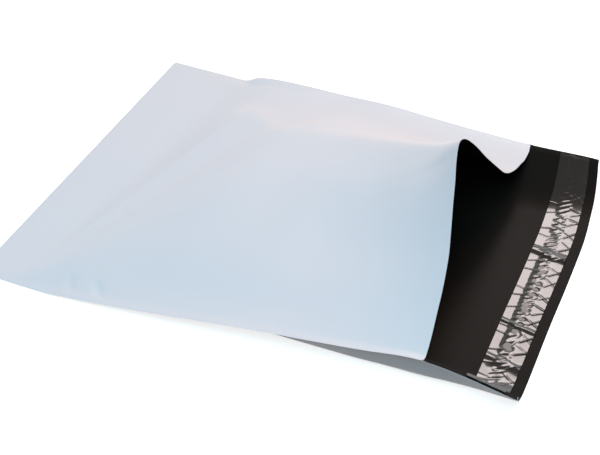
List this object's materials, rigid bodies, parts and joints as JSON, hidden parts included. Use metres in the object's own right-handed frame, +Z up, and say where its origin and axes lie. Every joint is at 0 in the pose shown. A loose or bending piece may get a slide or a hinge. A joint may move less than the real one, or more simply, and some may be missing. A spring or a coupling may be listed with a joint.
{
  "type": "poly mailer bag",
  "caption": "Opened poly mailer: film folded at the bottom and sealed along both edges, its upper wall raised in a ridge, with a closing flap carrying glue under a release liner.",
  "frame": {"origin": "centre of the bag's box, on the surface that its back wall rests on", "axes": "+X from the bottom fold towards the mouth and flap, +Y from the raised near edge to the far edge, +Z up from the resting back wall to the crest of the upper wall"},
  "size_m": [0.3224, 0.2604, 0.0823],
  "materials": {
    "film": "white polyethylene film outside with a soft gloss, black inside",
    "glue": "clear tacky hot-melt glue on black film",
    "liner": "clear glossy release film, finely crinkled"
  },
  "bodies": {
    "root": {"bag_film": "film", "adhesive_band": "glue", "release_liner": "liner"}
  },
  "joints": []
}
